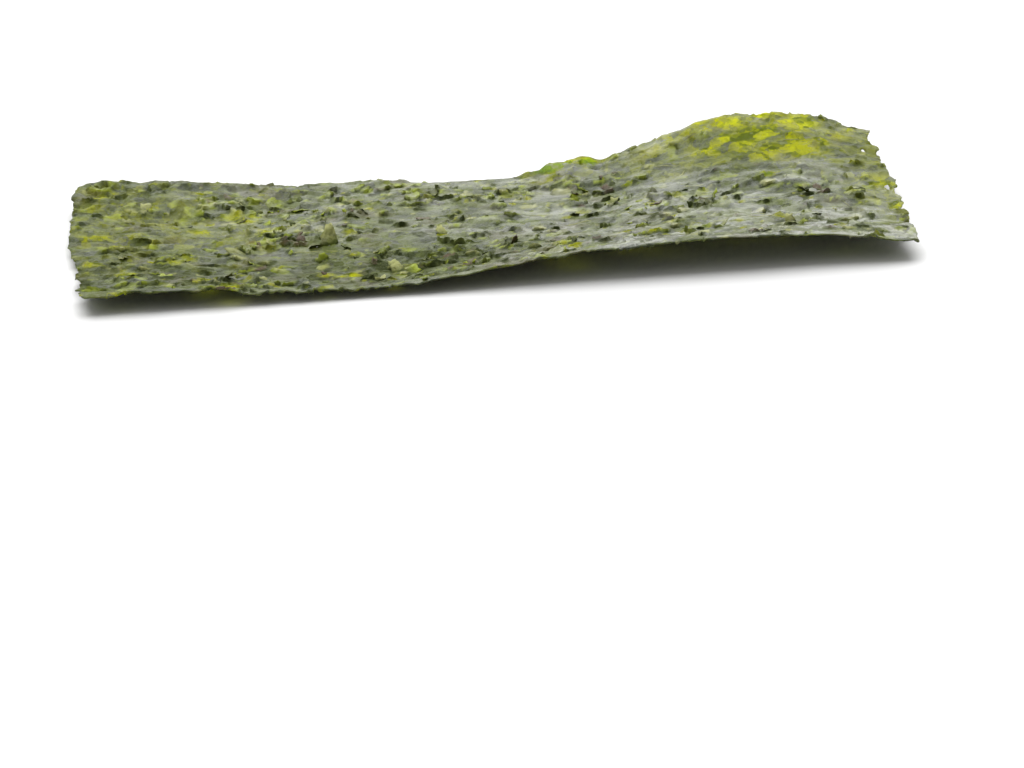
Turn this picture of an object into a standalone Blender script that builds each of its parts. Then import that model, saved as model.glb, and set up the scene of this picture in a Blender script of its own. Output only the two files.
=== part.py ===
"""A sheet of roasted seaweed: one thin, crisp rectangle that has buckled in the heat.

Metres, +Z up. +X runs along the long edges, +Y from the front long edge to the back one.
The origin is under the middle of the sheet's box, on the surface that it lies on.
"""

import math
import random

import bmesh
import bpy
from mathutils import Vector, noise

# Driving dimensions
LENGTH = 0.0943
WIDTH = 0.045
THICKNESS = 0.00028

# How high the middle of the film lies above the surface, less half its thickness, at even steps
# along the length from the left end to the right end. A value under zero is a stretch that lies flat.
FRONT_LIFT = (0.0022, 0.0025, 0.0015, 0.0015, 0.0032, 0.0042, 0.0044, 0.0040, 0.0026)
INNER_FRONT_LIFT = (0.0014, 0.0006, -0.0004, -0.0006, 0.0003, 0.0014, 0.0021, 0.0024, 0.0019)
INNER_BACK_LIFT = (0.0018, 0.0006, -0.0005, -0.0011, -0.0011, 0.0001, 0.0019, 0.0032, 0.0023)
BACK_LIFT = (0.0027, 0.0020, 0.0010, 0.0003, 0.0001, 0.0015, 0.0042, 0.0057, 0.0028)
LIFT_ROWS = (FRONT_LIFT, INNER_FRONT_LIFT, INNER_BACK_LIFT, BACK_LIFT)
LANDING = 0.0006

# Low ridges, long and narrow, that run along the length
RIDGE_HEIGHT = 0.0005
RIDGE_SPACING = 0.0052
RIDGE_LENGTH = 0.034

# The outline: short ends that bow outwards and are torn into teeth, nearly straight long edges
LEFT_BOW = 0.0008
RIGHT_BOW = 0.0004
END_TEETH = 0.00035
LONG_EDGE_WAVE = 0.0003
LONG_EDGE_WAVELENGTH = 0.031
CORNER_CUT = 0.0007
TEETH_SEED = 7

# The mesh
CELLS_ALONG = 60
CELLS_ACROSS = 28

SEAWEED_GREEN = (0.045, 0.060, 0.012, 1.0)
SEAWEED_ROUGHNESS = 0.38


def clear_scene():
    for obj in list(bpy.data.objects):
        bpy.data.objects.remove(obj, do_unlink=True)


def smooth_through(values, share):
    """The curve through evenly spaced values, read at a share of the way from the first to the last."""
    steps = len(values) - 1
    place = min(max(share, 0.0), 1.0) * steps
    index = min(int(place), steps - 1)
    part = place - index
    here = values[index]
    after = values[index + 1]
    before = values[index - 1] if index > 0 else 2 * here - after
    later = values[index + 2] if index + 2 <= steps else 2 * after - here
    slope_here = (after - before) / 2
    slope_after = (later - here) / 2
    return (
        (2 * part**3 - 3 * part**2 + 1) * here
        + (part**3 - 2 * part**2 + part) * slope_here
        + (3 * part**2 - 2 * part**3) * after
        + (part**3 - part**2) * slope_after
    )


def settle(height):
    """Zero for a height under zero, then a rise that starts smoothly over the landing height."""
    if height <= 0:
        return 0.0
    if height < LANDING:
        return height**2 / (2 * LANDING)
    return height - LANDING / 2


def lift_at(along, across):
    """Height of the film at shares of the length and the width, above where it lies flat."""
    rows = [smooth_through(row, along) for row in LIFT_ROWS]
    ridge = noise.noise(Vector((along * LENGTH / RIDGE_LENGTH, across * WIDTH / RIDGE_SPACING, 0)))
    return settle(smooth_through(rows, across) + RIDGE_HEIGHT * ridge)


def end_reach(across, bow, teeth):
    """How far a short end stands out of the plain rectangle at a share of the width."""
    middle = 1 - (2 * across - 1) ** 2
    nearness = max(0.0, abs(2 * across - 1) - 0.9) / 0.1
    tooth = smooth_through(teeth, across)
    return bow * middle + END_TEETH * tooth - CORNER_CUT * nearness**2


def long_edge_reach(along, side):
    """How far a long edge stands out of the plain rectangle at a share of the length."""
    turn = 2 * math.pi * along * LENGTH / LONG_EDGE_WAVELENGTH
    return LONG_EDGE_WAVE * (math.sin(turn + side) + 0.6 * noise.noise(Vector((along * 9, side, 0))))


def shape_film(bm):
    """Gives the flat grid the sheet's outline and its buckles."""
    rng = random.Random(TEETH_SEED)
    teeth = {side: [rng.uniform(-1, 1) for _ in range(CELLS_ACROSS // 2)] for side in (-1, 1)}
    for vert in bm.verts:
        along = vert.co.x / LENGTH + 0.5
        across = vert.co.y / WIDTH + 0.5
        end = 1 if along > 0.5 else -1
        edge = 1 if across > 0.5 else -1
        bow = RIGHT_BOW if end == 1 else LEFT_BOW
        x_out = end_reach(across, bow, teeth[end]) * abs(2 * along - 1) ** 6
        y_out = long_edge_reach(along, edge) * abs(2 * across - 1) ** 3
        vert.co.z = lift_at(along, across) + THICKNESS / 2
        vert.co.x += end * x_out
        vert.co.y += edge * y_out


def centre_in_plan(bm):
    """Moves the film so that the middle of its outline is over the origin."""
    for axis in (0, 1):
        places = [vert.co[axis] for vert in bm.verts]
        middle = (min(places) + max(places)) / 2
        for vert in bm.verts:
            vert.co[axis] -= middle


def seaweed_material():
    material = bpy.data.materials.new("seaweed")
    material.use_nodes = True
    shader = material.node_tree.nodes["Principled BSDF"]
    shader.inputs["Base Color"].default_value = SEAWEED_GREEN
    shader.inputs["Roughness"].default_value = SEAWEED_ROUGHNESS
    shader.inputs["Metallic"].default_value = 0.0
    return material


def nori_sheet():
    bm = bmesh.new()
    bmesh.ops.create_grid(
        bm,
        x_segments=CELLS_ALONG,
        y_segments=CELLS_ACROSS,
        size=0.5,
    )
    bmesh.ops.scale(bm, vec=(LENGTH, WIDTH, 1), verts=bm.verts)
    shape_film(bm)
    centre_in_plan(bm)
    bmesh.ops.recalc_face_normals(bm, faces=bm.faces)
    mesh = bpy.data.meshes.new("nori_sheet")
    bm.to_mesh(mesh)
    bm.free()
    mesh.materials.append(seaweed_material())
    mesh.shade_smooth()
    sheet = bpy.data.objects.new("nori_sheet", mesh)
    bpy.context.scene.collection.objects.link(sheet)
    film = sheet.modifiers.new("film", "SOLIDIFY")
    film.thickness = THICKNESS
    film.offset = 0
    return sheet


clear_scene()
nori_sheet()
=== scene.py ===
# %% [markdown]
# A sheet of roasted nori
#
# The real thing is a snack cut of pressed seaweed: thousands of thin scraps of leaf, dried into one film,
# oiled and roasted until it is crisp and has buckled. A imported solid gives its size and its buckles. This
# file gives it what the eye sees: the crinkled film, its torn ends, the scraps that stand up from it, and
# the way it shines grey at a low angle and glows green where light comes through.
#
# It could be one flat plane with a clever material, but then nothing would break the outline or cast a
# shadow. So the film is a fine mesh with its flakes pressed into it, the loose scraps and fibres are small
# closed meshes, and the material adds the colours, the shine and the relief that is too low to cast one.

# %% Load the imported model
import math
import random
from collections import namedtuple

import bmesh
import bpy
from mathutils import Matrix, Vector, noise
from mathutils.bvhtree import BVHTree


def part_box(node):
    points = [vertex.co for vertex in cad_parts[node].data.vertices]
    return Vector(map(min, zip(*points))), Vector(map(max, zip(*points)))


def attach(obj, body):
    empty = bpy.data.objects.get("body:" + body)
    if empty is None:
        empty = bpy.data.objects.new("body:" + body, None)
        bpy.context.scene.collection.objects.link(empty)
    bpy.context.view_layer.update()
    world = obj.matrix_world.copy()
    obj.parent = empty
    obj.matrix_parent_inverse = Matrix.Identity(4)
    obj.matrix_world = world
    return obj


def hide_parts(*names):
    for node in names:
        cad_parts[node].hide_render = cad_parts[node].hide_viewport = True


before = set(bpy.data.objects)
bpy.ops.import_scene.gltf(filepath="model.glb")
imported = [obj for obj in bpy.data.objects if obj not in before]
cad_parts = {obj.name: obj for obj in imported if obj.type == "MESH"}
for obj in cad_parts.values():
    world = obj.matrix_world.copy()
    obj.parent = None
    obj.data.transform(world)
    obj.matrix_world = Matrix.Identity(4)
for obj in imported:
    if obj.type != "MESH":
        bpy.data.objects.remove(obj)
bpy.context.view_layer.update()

LOW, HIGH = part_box("nori_sheet")
LENGTH, WIDTH, HEIGHT = HIGH - LOW
MM = 0.001
print(f"the sheet's box is {LENGTH / MM:.1f} x {WIDTH / MM:.1f} x {HEIGHT / MM:.1f} mm")

# %% [markdown]
# The camera
#
# The sheet was photographed from far off with a long lens, about 18 degrees above the table, so its far edge
# looks nearly as long as its near one. A camera could be placed by eye, but a few named angles are easier to
# check: where the view's middle meets the table, how far away the lens is, and how it is turned.

# %% Camera
LENS_MM = 175.8
AIM = Vector((-1.14, -55.6, 0)) * MM
DISTANCE = 523 * MM
ELEVATION = math.radians(18.48)
AZIMUTH = math.radians(2.94)
ROLL = math.radians(-3.02)

camera_data = bpy.data.cameras.new("camera")
camera_data.lens = LENS_MM
camera_data.clip_start = 0.01
camera = bpy.data.objects.new("camera", camera_data)
turn = Matrix.Rotation(-AZIMUTH, 4, "Z") @ Matrix.Rotation(math.pi / 2 - ELEVATION, 4, "X")
turn = turn @ Matrix.Rotation(ROLL, 4, "Z")
back = turn.to_3x3() @ Vector((0, 0, 1))
camera.matrix_world = Matrix.Translation(AIM + back * DISTANCE) @ turn
bpy.context.scene.collection.objects.link(camera)
bpy.context.scene.camera = camera
print(f"the camera is {camera.location.z / MM:.0f} mm above the table")

# %% [markdown]
# Table and light
#
# Nori is dark, and what makes it look grey is the bright light mirrored in its oil. A small lamp would give
# it hard sparks, so three wide soft panels are used. The largest hangs overhead and lights everything. A
# lower one stands behind, where a low view finds its reflection, and it also shines through the raised hump.
# A weak one at front left keeps the near sides of the scraps from going black. The room is a plain dim white.

# %% Table and light
FLOOR_SIZE = 6.0
FLOOR_TONE = 0.82
ROOM_TONE = 0.3


def new_material(name):
    """A node material with an empty tree and its output, and nothing else."""
    material = bpy.data.materials.new(name)
    material.use_nodes = True
    material.node_tree.nodes.clear()
    output = material.node_tree.nodes.new("ShaderNodeOutputMaterial")
    return material, material.node_tree, output


def floor():
    bm = bmesh.new()
    bmesh.ops.create_grid(bm, x_segments=1, y_segments=1, size=FLOOR_SIZE / 2)
    mesh = bpy.data.meshes.new("floor")
    bm.to_mesh(mesh)
    bm.free()
    material, tree, output = new_material("pale_table")
    shader = tree.nodes.new("ShaderNodeBsdfPrincipled")
    shader.inputs["Base Color"].default_value = (FLOOR_TONE, FLOOR_TONE, FLOOR_TONE, 1)
    shader.inputs["Roughness"].default_value = 0.9
    shader.inputs["Specular IOR Level"].default_value = 0.0
    tree.links.new(shader.outputs["BSDF"], output.inputs["Surface"])
    mesh.materials.append(material)
    table = bpy.data.objects.new("floor", mesh)
    bpy.context.scene.collection.objects.link(table)


def soft_panel(name, place, watts, width, depth):
    """A rectangle of soft light at a place in metres, turned to face the sheet."""
    data = bpy.data.lights.new(name, "AREA")
    data.shape = "RECTANGLE"
    data.size = width
    data.size_y = depth
    data.energy = watts
    panel = bpy.data.objects.new(name, data)
    away = Vector(place)
    panel.matrix_world = Matrix.Translation(away) @ away.to_track_quat("Z", "Y").to_matrix().to_4x4()
    bpy.context.scene.collection.objects.link(panel)


floor()
soft_panel("top_panel", place=(0.0, 0.3, 1.9), watts=50.0, width=2.4, depth=2.4)
soft_panel("back_panel", place=(0.10, 0.85, 0.50), watts=6.0, width=1.3, depth=0.7)
soft_panel("front_panel", place=(-0.55, -0.5, 0.7), watts=1.5, width=0.6, depth=0.6)

world = bpy.data.worlds.new("room")
world.use_nodes = True
world.node_tree.nodes["Background"].inputs["Color"].default_value = (1, 1, 1, 1)
world.node_tree.nodes["Background"].inputs["Strength"].default_value = ROOM_TONE
bpy.context.scene.world = world
bpy.context.scene.view_settings.view_transform = "Standard"

# %% [markdown]
# Where the film lies
#
# The solid already has the buckles, so the film borrows them: a ray dropped on the solid gives the height of
# its upper face at any place. Repeating the solid's own formulas would work too, but a ray can't drift away
# from the solid if that is changed. Past the solid's edge the ray is moved in until it meets the solid.

# %% Height of the film
SOLID_THICKNESS = 0.28 * MM
RAY_TOP = HIGH.z + 10 * MM
DOWN = Vector((0, 0, -1))
STEP_INWARDS = 0.995
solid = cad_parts["nori_sheet"]
solid_tree = BVHTree.FromObject(solid, bpy.context.evaluated_depsgraph_get())


def solid_height(x, y):
    """Height of the middle of the solid's wall above the table, at a place in metres."""
    start = Vector((x, y, RAY_TOP))
    hit = solid_tree.ray_cast(start, DOWN)[0]
    while hit is None:
        start.x *= STEP_INWARDS
        start.y *= STEP_INWARDS
        hit = solid_tree.ray_cast(start, DOWN)[0]
    return hit.z - SOLID_THICKNESS / 2


print(f"at its middle the film lies {solid_height(0, 0) / MM:.2f} mm above the table")

# %% [markdown]
# The film's own relief
#
# Up close the film isn't smooth. Large scraps of leaf overlap in patches, each at its own slight tilt, so
# each mirrors another part of the room. Long shallow swells and short sharp creases run mostly along the
# sheet. A sculpted surface would look as good, but sums of noise are easier to change and give the same
# result each time.

# %% Noise and soft ovals
WAVE_DECAY = 0.9
# Where the film is smooth: place and reach in mm, and how much of its relief is missing
RIGHT_FRONT_SMOOTH = (32, -20.5, 18, 3.8, 0.7)
HUMP_SMOOTH = (36, 13, 12, 8, 0.45)
SMOOTH_AREAS = (RIGHT_FRONT_SMOOTH, HUMP_SMOOTH)


def within(value, low=0.0, high=1.0):
    """A value, or the limit that it has passed."""
    return min(high, max(low, value))


def waves(x, y, length, width, layer):
    """Noise from about -1 to 1 in waves of a length and width in mm. Each layer has its own pattern."""
    return noise.noise(Vector((x / length, y / width, layer)))


def broken_waves(x, y, length, width, layer, octaves=3, finer=2.1):
    """The same noise with finer and weaker waves added, each so many times finer than the last."""
    return noise.fractal(Vector((x / length, y / width, layer)), WAVE_DECAY, finer, octaves)


def bump_at(x, y, x0, y0, reach_x, reach_y):
    """One in the middle of an oval, falling smoothly to zero outside it."""
    return math.exp(-(((x - x0) / reach_x) ** 2) - ((y - y0) / reach_y) ** 2)


def summed(x, y, areas):
    """The sum of soft ovals, each given by its place and its reach both ways in mm, and its weight."""
    return sum(area[4] * bump_at(x, y, *area[:4]) for area in areas)


def crinkled(x, y):
    """How much of its relief the film has at a place in mm: all of it but for the smooth areas."""
    return 1 - summed(x, y, SMOOTH_AREAS)


print(f"on the hump {crinkled(*HUMP_SMOOTH[:2]):.2f} of the film's relief is left")

# %% Relief of the film
PATCH_LENGTH = 4.2
PATCH_WIDTH = 2.6
PATCH_LAYER = 0.5
PATCH_KEY = 7.31
PATCH_STEP = 0.08
PATCH_TILT = 0.05
WARP = 1.4
WARP_LENGTH = 2.6
WARP_WIDTH = 2.0
WARP_LAYER = 1.7
CREASE_HEIGHT = 0.12
LONG_CREASE = 0.14
SHORT_CREASE = 0.2
SHORT_CREASE_SHARE = 0.7
CREASE_SINK = 0.3
SWELL_HEIGHT = 0.34
STREAK_HEIGHT = 0.16
STREAK_SLANT = 0.8
# Without a seed of its own, noise_vector draws another pattern in each run
NOISE_SEED = 5
noise.seed_set(NOISE_SEED)


def patch_relief(x, y):
    """Height in mm of the overlapping patches: each cell of a warped grid has a level and a tilt."""
    warp = WARP * noise.noise_vector(Vector((x / WARP_LENGTH, y / WARP_WIDTH, WARP_LAYER)))
    place = Vector(((x + warp.x) / PATCH_LENGTH, (y + warp.y) / PATCH_WIDTH, PATCH_LAYER))
    nearest = noise.voronoi(place)[1][0]
    key = noise.cell_vector(nearest * PATCH_KEY)
    away = place - nearest
    tilt = (key.x - 0.5) * away.x * PATCH_LENGTH + (key.y - 0.5) * away.y * PATCH_WIDTH
    return PATCH_STEP * (key.z - 0.5) + 2 * PATCH_TILT * tilt


def crease_relief(x, y):
    """Height in mm of narrow creases, which follow the lines where a slow noise is zero."""
    slow = abs(waves(x, y, length=7.5, width=2.8, layer=5.2))
    quick = abs(waves(x, y, length=3.1, width=1.6, layer=8.8))
    long_creases = max(0.0, 1 - slow / LONG_CREASE)
    short_creases = max(0.0, 1 - quick / SHORT_CREASE)
    return CREASE_HEIGHT * (long_creases + SHORT_CREASE_SHARE * short_creases - CREASE_SINK)


def swell_relief(x, y):
    """Height in mm of low swells and finer streaks that run along the sheet."""
    swell = broken_waves(x, y, length=8, width=3.6, layer=2.4)
    streak = broken_waves(x + STREAK_SLANT * y, y, length=3.4, width=1.5, layer=4.9, octaves=2)
    return SWELL_HEIGHT * swell + STREAK_HEIGHT * streak


print(f"the swells and streaks lift the film's middle by {swell_relief(0, 0):.2f} mm")

# %% [markdown]
# Flakes pressed into the film
#
# Every scrap of leaf that dried a little apart from the rest shows as a flake: stuck down at its root, risen
# at its tip, torn all round. The big ones lie nearly flat, and the crumbs, a millimetre or two wide, stand
# up steeply and come in clusters. A flake can be pale, dark, brown or straw-coloured, or so thin that light
# comes through it, mostly yellow and in a few places green.
#
# They could all be separate meshes, but then they would look strewn on. So each one is stamped into the
# film: it lifts the film's own points under it, pushes them forward so that its tip overhangs, and notes
# its colour on them, strongest at the tip, which is partly painted light. The hollow in front of a raised
# tip is noted as dark, as painted shade under the overhang.

# %% Flakes
Flake = namedtuple("Flake", "x y length breadth heading rise kind strength")
FlakeSort = namedtuple("FlakeSort", "count bare_share length breadth rise turn strength kinds")

# Lengths are in mm, and breadths and rises are shares of a flake's length. The turn is how far a flake may
# head away from the front edge, and the bare share is how many fall outside the clusters.
LEAVES = FlakeSort(
    count=560, bare_share=0.6, length=(1.2, 3.0), breadth=(0.5, 1.3), rise=(0.015, 0.065), turn=9.0,
    strength=(0.1, 0.8), kinds=("pale",) * 6 + ("dark",) * 5 + ("plain",) * 3 + ("straw",) + ("thin",) * 2,
)
CRUMBS = FlakeSort(
    count=760, bare_share=0.1, length=(0.7, 1.8), breadth=(0.8, 1.7), rise=(0.15, 0.42), turn=1.0,
    strength=(0.25, 1.0), kinds=("pale",) * 8 + ("straw",) * 3 + ("dark",) * 4 + ("plain",) * 4 + ("brown",),
)
BITS = FlakeSort(
    count=1700, bare_share=0.45, length=(0.5, 1.1), breadth=(0.6, 1.4), rise=(0.04, 0.16), turn=9.0,
    strength=(0.2, 0.8), kinds=("pale",) * 5 + ("straw",) * 2 + ("dark",) * 5 + ("brown", "thin"),
)
FLAKE_SEED = 47
FACING_FRONT = -math.pi / 2
NOTED_TURN = 0.25
NOTED_STRENGTH = (0.7, 1.0)

# The ones that can be told apart from far off, listed one by one: along the film and across it, length,
# breadth and rise, all in mm, and the kind
NOTED_FLAKES = (
    (-23.4, -0.3, 1.5, 1.8, 0.60, "brown"),
    (-21.9, -0.9, 1.4, 1.9, 0.65, "brown"),
    (-22.6, 0.9, 1.2, 1.5, 0.50, "dark"),
    (-26.5, -1.2, 0.8, 0.9, 0.35, "brown"),
    (-13.6, -11.2, 0.9, 0.8, 0.45, "brown"),
    (-19.2, -14.1, 0.9, 1.0, 0.35, "brown"),
    (-28.8, -4.3, 1.6, 2.2, 0.35, "straw"),
    (-38.5, -11.5, 1.4, 1.3, 0.45, "pale"),
    (-41.3, 9.5, 1.4, 1.3, 0.40, "straw"),
    (-39.6, 13.4, 1.5, 1.2, 0.40, "straw"),
    (-39.4, -1.9, 1.3, 2.4, 0.45, "dark"),
    (-31.8, -6.9, 2.0, 4.8, 0.50, "plain"),
    (-10.4, -13.8, 1.6, 1.4, 0.60, "straw"),
    (-11.7, -12.4, 1.3, 1.4, 0.55, "straw"),
    (-14.6, -17.2, 1.5, 2.0, 0.65, "dark"),
    (-13.3, -17.8, 1.2, 1.3, 0.50, "straw"),
    (-9.9, 4.8, 1.4, 2.0, 0.55, "dark"),
    (-8.2, 4.0, 1.3, 1.6, 0.50, "pale"),
    (-5.5, -0.6, 1.1, 1.2, 0.45, "thin"),
    (-4.0, -3.6, 2.4, 4.4, 0.75, "plain"),
    (-14.2, 7.0, 0.8, 0.9, 0.30, "brown"),
    (1.8, 9.5, 1.5, 2.4, 0.35, "pale"),
    (2.7, -6.1, 1.3, 1.6, 0.60, "dark"),
    (2.6, -7.6, 0.7, 0.9, 0.35, "brown"),
    (5.8, -0.4, 1.4, 1.6, 0.50, "straw"),
    (7.7, -0.7, 1.3, 1.5, 0.50, "dark"),
    (8.6, -3.2, 1.1, 1.2, 0.40, "brown"),
    (12.2, 2.9, 1.6, 2.4, 0.55, "dark"),
    (14.8, 11.4, 1.5, 1.4, 0.55, "brown"),
    (-8.0, -9.8, 1.2, 1.7, 0.45, "dark"),
    (-5.1, -12.2, 1.0, 1.4, 0.40, "dark"),
    (1.6, -12.7, 1.0, 1.8, 0.40, "dark"),
    (11.5, -14.1, 1.2, 1.5, 0.40, "brown"),
    (15.5, -13.0, 1.2, 1.6, 0.40, "pale"),
    (38.6, -1.2, 1.6, 1.5, 0.70, "brown"),
    (37.0, -1.4, 1.5, 1.8, 0.50, "dark"),
    (36.2, 0.8, 1.2, 1.3, 0.40, "pale"),
    (25.3, 5.7, 1.2, 1.1, 0.45, "dark"),
    (29.2, 4.6, 1.2, 1.2, 0.45, "pale"),
    (28.8, 0.2, 1.1, 1.0, 0.50, "dark"),
    (26.4, 1.0, 1.0, 1.0, 0.40, "dark"),
    (23.8, 2.8, 0.9, 0.9, 0.40, "dark"),
    (25.2, -2.2, 1.1, 1.1, 0.45, "dark"),
    (31.6, -2.3, 1.2, 1.5, 0.40, "dark"),
    (33.7, -4.6, 1.2, 2.0, 0.50, "plain"),
    (32.8, 4.3, 1.8, 2.0, 0.40, "straw"),
    (42.4, -3.0, 1.6, 2.2, 0.55, "dark"),
    (17.4, -0.4, 1.3, 1.8, 0.50, "dark"),
    (20.9, -9.4, 1.6, 2.0, 0.50, "straw"),
    (23.4, -12.1, 1.3, 1.6, 0.50, "dark"),
    (25.2, -12.6, 1.3, 1.6, 0.50, "pale"),
    (28.8, -19.8, 1.1, 1.8, 0.50, "brown"),
    (33.4, -14.7, 1.3, 1.6, 0.60, "dark"),
    (37.3, -18.2, 1.2, 1.5, 0.40, "brown"),
    (34.4, -21.6, 0.9, 0.9, 0.40, "pale"),
    (18.8, 13.4, 1.5, 1.8, 0.35, "pale"),
    (17.2, 12.0, 1.2, 1.6, 0.30, "green"),
    (23.4, 19.2, 1.5, 1.5, 0.40, "dark"),
    (32.1, 19.9, 0.8, 1.0, 0.20, "straw"),
    (37.0, 17.2, 2.0, 3.4, 0.20, "plain"),
    (27.0, 22.0, 1.2, 3.0, 0.05, "thin"),
    (29.8, 20.7, 1.8, 4.0, 0.05, "thin"),
    (39.0, 20.5, 3.6, 5.6, 0.06, "thin"),
    (31.4, 16.2, 3.6, 2.6, 0.08, "thin"),
    (27.0, 15.3, 3.4, 4.4, 0.06, "thin"),
    (29.7, 17.4, 2.4, 2.6, 0.08, "thin"),
    (38.3, 12.2, 5.0, 6.2, 0.08, "thin"),
    (33.5, 12.4, 4.0, 4.4, 0.06, "thin"),
    (40.3, 15.1, 2.4, 3.0, 0.08, "thin"),
    (34.6, 18.2, 1.8, 3.0, 0.08, "thin"),
    (45.8, 2.4, 3.6, 2.4, 0.10, "thin"),
    (46.3, -6.3, 2.0, 1.8, 0.05, "thin"),
    (44.7, 2.8, 1.2, 1.2, 0.30, "thin"),
    (8.9, 21.0, 3.6, 4.6, 0.10, "green"),
    (13.4, 20.9, 2.6, 3.0, 0.10, "green"),
    (-45.3, 3.7, 1.6, 4.0, 0.20, "thin"),
    (-42.5, 1.6, 1.4, 2.6, 0.25, "thin"),
    (-33.0, 6.0, 2.2, 4.0, 0.10, "thin"),
    (-37.2, -15.4, 1.0, 1.2, 0.20, "thin"),
    (12.1, -14.8, 1.0, 1.5, 0.40, "dark"),
    (13.5, -14.1, 1.1, 1.4, 0.30, "straw"),
    (16.7, -12.3, 1.2, 1.4, 0.50, "pale"),
    (18.0, -11.7, 1.2, 2.0, 0.45, "thin"),
    (19.3, -12.0, 1.2, 1.6, 0.45, "pale"),
    (21.6, -7.6, 1.0, 1.4, 0.35, "straw"),
    (24.2, -10.9, 1.2, 1.4, 0.45, "green"),
    (17.2, 0.9, 1.4, 1.7, 0.40, "pale"),
    (20.7, -2.4, 1.4, 1.8, 0.30, "straw"),
    (21.1, -3.6, 1.0, 1.0, 0.35, "thin"),
    (3.4, -18.3, 1.1, 1.8, 0.35, "pale"),
    (0.1, -13.9, 1.2, 1.6, 0.45, "dark"),
    (7.0, -2.0, 1.2, 1.3, 0.40, "straw"),
    (36.8, 2.2, 1.5, 2.4, 0.35, "pale"),
    (42.7, -1.6, 1.2, 2.0, 0.35, "pale"),
    (33.2, 6.2, 1.6, 2.2, 0.30, "green"),
    (30.5, 12.1, 0.8, 1.0, 0.25, "thin"),
    (20.2, 15.8, 1.8, 2.6, 0.20, "straw"),
    (16.1, 16.6, 1.0, 1.4, 0.30, "brown"),
)

LANDMARK_AREA = 1.4
LANDMARK_REACH = 0.6
CROWDING = 0.46
CROWDING_SWING = 1.2
LEFT_CROWDING = 0.26
LEFT_REACH = 30


def crowding(x, y):
    """From 0 on bare film to 1 in the middle of a cluster, at a place in mm."""
    swing = broken_waves(x, y, length=11, width=6, layer=6.6, finer=2.0)
    at_left = LEFT_CROWDING * within(-x / LEFT_REACH, low=-1.0)
    return crinkled(x, y) * within(CROWDING + at_left + CROWDING_SWING * swing)


def by_landmark(x, y):
    """Whether a place in mm is on one of the large noted flakes."""
    return any(
        math.hypot(x - flake_x, y - flake_y) < LANDMARK_REACH * max(length, breadth)
        for flake_x, flake_y, length, breadth, *_ in NOTED_FLAKES
        if length * breadth > LANDMARK_AREA
    )


def draw_places(count, seed, bare_share):
    """Places in mm over the whole sheet, seeded, thinned out where the film is bare."""
    rng = random.Random(seed)
    places = []
    while len(places) < count:
        x = rng.uniform(LOW.x, HIGH.x) / MM
        y = rng.uniform(LOW.y, HIGH.y) / MM
        wanted = bare_share + (1 - bare_share) * crowding(x, y) ** 2
        if rng.random() < wanted and not by_landmark(x, y):
            places.append((x, y))
    return places, rng


def scattered(sort, seed):
    """Flakes of one sort, each drawn at random within the sort's ranges."""
    flakes = []
    places, rng = draw_places(sort.count, seed, sort.bare_share)
    for x, y in places:
        length = rng.uniform(*sort.length)
        breadth = length * rng.uniform(*sort.breadth)
        heading = rng.gauss(FACING_FRONT, sort.turn)
        rise = length * rng.uniform(*sort.rise)
        kind = rng.choice(sort.kinds)
        strength = rng.uniform(*sort.strength)
        flakes.append(Flake(x, y, length, breadth, heading, rise, kind, strength))
    return flakes


def noted_flakes():
    """The flakes that are listed one by one, all facing about the front edge."""
    flakes = []
    rng = random.Random(FLAKE_SEED)
    for x, y, length, breadth, rise, kind in NOTED_FLAKES:
        heading = rng.gauss(FACING_FRONT, NOTED_TURN)
        strength = rng.uniform(*NOTED_STRENGTH)
        flakes.append(Flake(x, y, length, breadth, heading, rise, kind, strength))
    return flakes


FLAKES = noted_flakes()
for number, sort in enumerate((BITS, CRUMBS, LEAVES)):
    FLAKES = scattered(sort, FLAKE_SEED + number) + FLAKES
print(f"{len(FLAKES)} flakes are pressed into the film")

# %% [markdown]
# Stamping a flake
#
# The stamp needs the film's points near one place, and looking through all of them for every flake would be
# slow. So the points are sorted into square bins first. The film itself is kept as plain lists while the
# stamps are made, and only then written back to the mesh.
#
# In a stamp, u runs from -1 at the flake's root to 1 at its tip, and v from one side to the other. Noise
# moves the rim in and out, so that no two flakes are torn alike.

# %% The film's points
KINDS = ("pale", "dark", "brown", "straw", "thin", "green")
SEEN_THROUGH = ("thin", "green")
# The rim of a flake: how far it is torn, and how wide a soft border it has, as shares of the half size
TORN_RIM = 0.55
FINE_TEAR = 0.4
RIM = 0.22
SOFT_RIM = 0.6
# From root to tip: powers by which a flake rises and takes on its colour, and the colour at its root.
# The colour is partly the flake's own and partly painted light: strongest at the raised tip, as if lit,
# and faint at the root, as painted shade.
TIP_CURVE = 1.3
LIT_TIP_COLOUR_CURVE = 1.5
ROOT_COLOUR_IN_SHADE = 0.15
FLAKE_ROUGHNESS = 0.5
OVERHANG = 0.5
# The hollow before a tip: its depth and the rise that makes one in mm, its reach as a share of the half size
HOLLOW_DEPTH = 0.14
HOLLOW_REACH = 1.75
# How dark the painted shade in the hollow is
HOLLOW_PAINTED_SHADE = 0.55
HOLLOW_RISE = 0.15
FULL_HOLLOW_RISE = 0.35


def tears(u, v, pitch, key):
    """Noise from about -1 to 1 over one flake, with so many waves in its half size."""
    return noise.noise(Vector((u * pitch, v * pitch, key)))


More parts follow.
